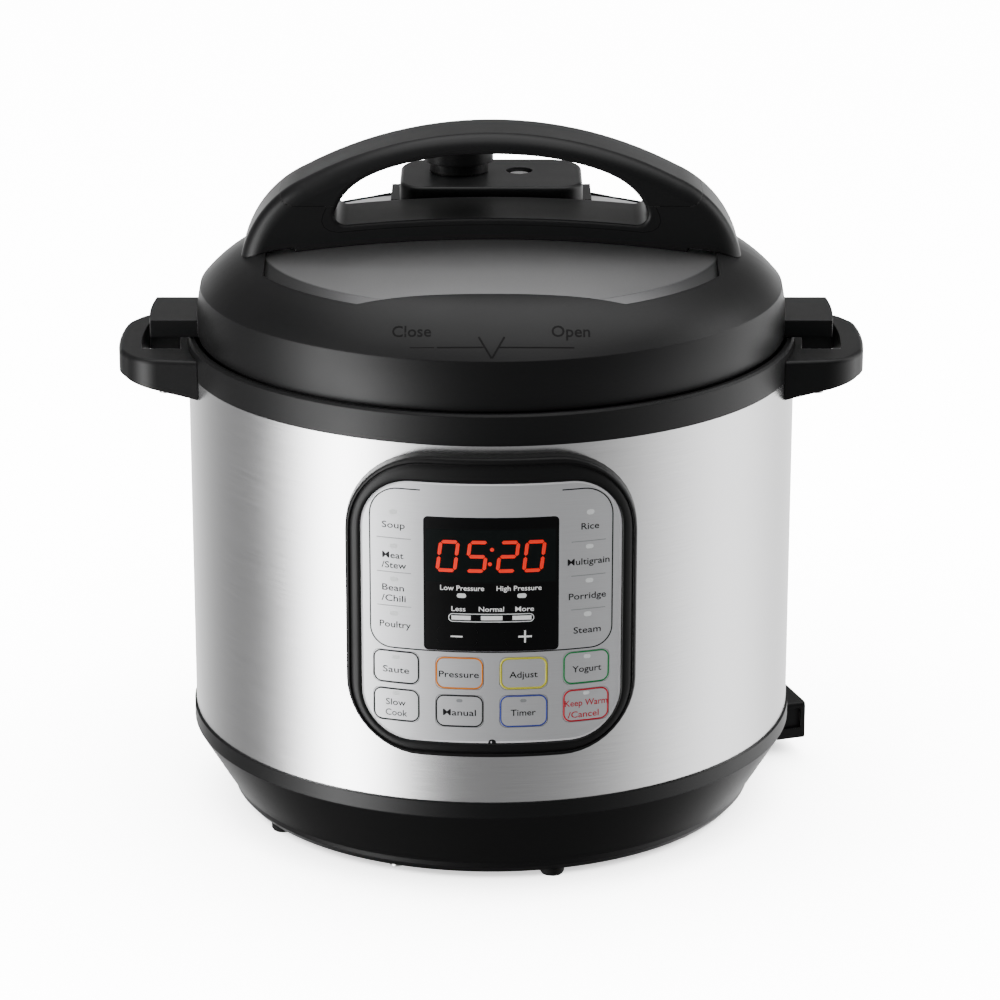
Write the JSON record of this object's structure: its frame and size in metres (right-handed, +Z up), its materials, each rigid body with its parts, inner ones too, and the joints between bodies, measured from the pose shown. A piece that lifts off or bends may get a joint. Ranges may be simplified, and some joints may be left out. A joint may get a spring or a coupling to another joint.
{
  "type": "electric pressure cooker",
  "caption": "Round programmable pressure cooker with a steel body, arched lid handle, bayonet lid, valves, inner pot and a keyed front panel.",
  "frame": {"origin": "on the pot's axis, level with the bottoms of the feet", "axes": "+Z up, -Y towards the control panel, +X to the right seen from the front"},
  "size_m": [0.3376, 0.313, 0.3149],
  "materials": {
    "black_plastic": "satin moulded polypropylene",
    "lid_black": "satin moulded, finer grain on the lid",
    "gloss_black": "semi-gloss",
    "brushed_steel": "fine satin, grain around the body",
    "lid_steel": "fine bead-blast satin",
    "pot_steel": "polished inside, satin outside",
    "coil_steel": "plain drawn",
    "cast_aluminium": "machined face",
    "zinc_screw": "zinc plated",
    "brass_pin": "nickel-flashed brass",
    "fuse_body": "ceramic-filled",
    "circuit_board": "solder mask",
    "panel_silver": "printed brushed-silver film",
    "key_pad": "printed brushed-silver film over a dome",
    "display_red": "red seven-segment digits",
    "clear_plastic": "translucent",
    "silicone": "translucent white silicone",
    "float_steel": "polished",
    "rubber": "matte"
  },
  "bodies": {
    "body": {"base_housing": "black_plastic", "base_plate": "black_plastic", "rubber_feet": "rubber", "base_screws": "zinc_screw", "outer_shell": "brushed_steel", "top_ring": "black_plastic", "handle_left": "black_plastic", "handle_right": "black_plastic", "handle_screws": "zinc_screw", "outer_pot": "pot_steel", "heating_plate": "cast_aluminium", "heating_coil": "coil_steel", "thermal_fuse": "fuse_body", "heater_bracket": "coil_steel", "power_board": "circuit_board", "inlet_housing": "black_plastic", "inlet_pins": "brass_pin", "panel_bezel": "gloss_black", "panel_overlay": "panel_silver", "display_window": "gloss_black", "led_display": "display_red", "control_board": "circuit_board", "cup_bracket": "black_plastic", "sensor_spring": "coil_steel"},
    "inner_pot": {"inner_pot": "pot_steel"},
    "sealing_ring": {"sealing_ring": "silicone"},
    "lid": {"lid_pan": "lid_steel", "lid_cover": "lid_black", "handle_base": "lid_black", "handle_grip": "lid_black", "valve_housing": "lid_black", "steam_pipe": "coil_steel", "anti_block_shield": "pot_steel", "ring_rack": "coil_steel", "lid_screws": "zinc_screw", "lock_spring": "coil_steel"},
    "steam_release": {"steam_release_knob": "lid_black"},
    "float_valve": {"float_valve": "float_steel", "float_valve_cap": "silicone"},
    "lock_slide": {"lock_slide": "lid_black"},
    "condensation_cup": {"condensation_cup": "clear_plastic"},
    "sensor_button": {"sensor_button": "cast_aluminium"},
    "key_soup": {"key_soup": "key_pad"},
    "key_stew": {"key_stew": "key_pad"},
    "key_beans": {"key_beans": "key_pad"},
    "key_poultry": {"key_poultry": "key_pad"},
    "key_rice": {"key_rice": "key_pad"},
    "key_grain": {"key_grain": "key_pad"},
    "key_porridge": {"key_porridge": "key_pad"},
    "key_steam": {"key_steam": "key_pad"},
    "key_saute": {"key_saute": "key_pad"},
    "key_slow_cook": {"key_slow_cook": "key_pad"},
    "key_pressure": {"key_pressure": "key_pad"},
    "key_manual": {"key_manual": "key_pad"},
    "key_adjust": {"key_adjust": "key_pad"},
    "key_timer": {"key_timer": "key_pad"},
    "key_yogurt": {"key_yogurt": "key_pad"},
    "key_off": {"key_off": "key_pad"},
    "key_minus": {"key_minus": "key_pad"},
    "key_plus": {"key_plus": "key_pad"}
  },
  "joints": [
    {"name": "lid_lift", "type": "slide", "parent": "body", "child": "sealing_ring", "axis": [0, 0, 1], "range_m": [0, 0.4]},
    {"name": "lid_turn", "type": "hinge", "parent": "sealing_ring", "child": "lid", "pos_m": [0, 0, 0.23], "axis": [0, 0, 1], "range_deg": [0, 30]},
    {"name": "pot_lift", "type": "slide", "parent": "body", "child": "inner_pot", "axis": [0, 0, 1], "range_m": [0, 0.18]},
    {"name": "steam_release_turn", "type": "hinge", "parent": "lid", "child": "steam_release", "pos_m": [-0.015, 0.06, 0.29], "axis": [0, 0, 1], "range_deg": [0, 40]},
    {"name": "float_rise", "type": "slide", "parent": "lid", "child": "float_valve", "axis": [0, 0, 1], "range_m": [0, 0.004]},
    {"name": "lock_slide_travel", "type": "slide", "parent": "lid", "child": "lock_slide", "axis": [0, 1, 0], "range_m": [0, 0.003], "stiffness_N_per_m": 150, "springref_m": -0.001, "deforming": ["lock_spring"]},
    {"name": "cup_pull", "type": "slide", "parent": "body", "child": "condensation_cup", "axis": [0, 1, 0], "range_m": [0, 0.08]},
    {"name": "sensor_press", "type": "slide", "parent": "body", "child": "sensor_button", "axis": [0, 0, 1], "range_m": [-0.0015, 0], "stiffness_N_per_m": 400, "deforming": ["sensor_spring"]},
    {"name": "key_soup_press", "type": "slide", "parent": "body", "child": "key_soup", "axis": [0.2875, 0.9578, 0], "range_m": [0, 0.0004], "stiffness_N_per_m": 500},
    {"name": "key_stew_press", "type": "slide", "parent": "body", "child": "key_stew", "axis": [0.2875, 0.9578, 0], "range_m": [0, 0.0004], "stiffness_N_per_m": 500},
    {"name": "key_beans_press", "type": "slide", "parent": "body", "child": "key_beans", "axis": [0.2875, 0.9578, 0], "range_m": [0, 0.0004], "stiffness_N_per_m": 500},
    {"name": "key_poultry_press", "type": "slide", "parent": "body", "child": "key_poultry", "axis": [0.2875, 0.9578, 0], "range_m": [0, 0.0004], "stiffness_N_per_m": 500},
    {"name": "key_rice_press", "type": "slide", "parent": "body", "child": "key_rice", "axis": [-0.2875, 0.9578, 0], "range_m": [0, 0.0004], "stiffness_N_per_m": 500},
    {"name": "key_grain_press", "type": "slide", "parent": "body", "child": "key_grain", "axis": [-0.2875, 0.9578, 0], "range_m": [0, 0.0004], "stiffness_N_per_m": 500},
    {"name": "key_porridge_press", "type": "slide", "parent": "body", "child": "key_porridge", "axis": [-0.2875, 0.9578, 0], "range_m": [0, 0.0004], "stiffness_N_per_m": 500},
    {"name": "key_steam_press", "type": "slide", "parent": "body", "child": "key_steam", "axis": [-0.2875, 0.9578, 0], "range_m": [0, 0.0004], "stiffness_N_per_m": 500},
    {"name": "key_saute_press", "type": "slide", "parent": "body", "child": "key_saute", "axis": [0.2847, 0.9586, 0], "range_m": [0, 0.0004], "stiffness_N_per_m": 500},
    {"name": "key_slow_cook_press", "type": "slide", "parent": "body", "child": "key_slow_cook", "axis": [0.2847, 0.9586, 0], "range_m": [0, 0.0004], "stiffness_N_per_m": 500},
    {"name": "key_pressure_press", "type": "slide", "parent": "body", "child": "key_pressure", "axis": [0.0951, 0.9955, 0], "range_m": [0, 0.0004], "stiffness_N_per_m": 500},
    {"name": "key_manual_press", "type": "slide", "parent": "body", "child": "key_manual", "axis": [0.0951, 0.9955, 0], "range_m": [0, 0.0004], "stiffness_N_per_m": 500},
    {"name": "key_adjust_press", "type": "slide", "parent": "body", "child": "key_adjust", "axis": [-0.0972, 0.9953, 0], "range_m": [0, 0.0004], "stiffness_N_per_m": 500},
    {"name": "key_timer_press", "type": "slide", "parent": "body", "child": "key_timer", "axis": [-0.0972, 0.9953, 0], "range_m": [0, 0.0004], "stiffness_N_per_m": 500},
    {"name": "key_yogurt_press", "type": "slide", "parent": "body", "child": "key_yogurt", "axis": [-0.2847, 0.9586, 0], "range_m": [0, 0.0004], "stiffness_N_per_m": 500},
    {"name": "key_off_press", "type": "slide", "parent": "body", "child": "key_off", "axis": [-0.2847, 0.9586, 0], "range_m": [0, 0.0004], "stiffness_N_per_m": 500},
    {"name": "key_minus_press", "type": "slide", "parent": "body", "child": "key_minus", "axis": [0.1014, 0.9948, 0], "range_m": [0, 0.0004], "stiffness_N_per_m": 500},
    {"name": "key_plus_press", "type": "slide", "parent": "body", "child": "key_plus", "axis": [-0.1014, 0.9948, 0], "range_m": [0, 0.0004], "stiffness_N_per_m": 500}
  ],
  "couplings": [
    {"joint": "pot_lift", "follows": "lid_lift", "ratio": 0.45}
  ]
}
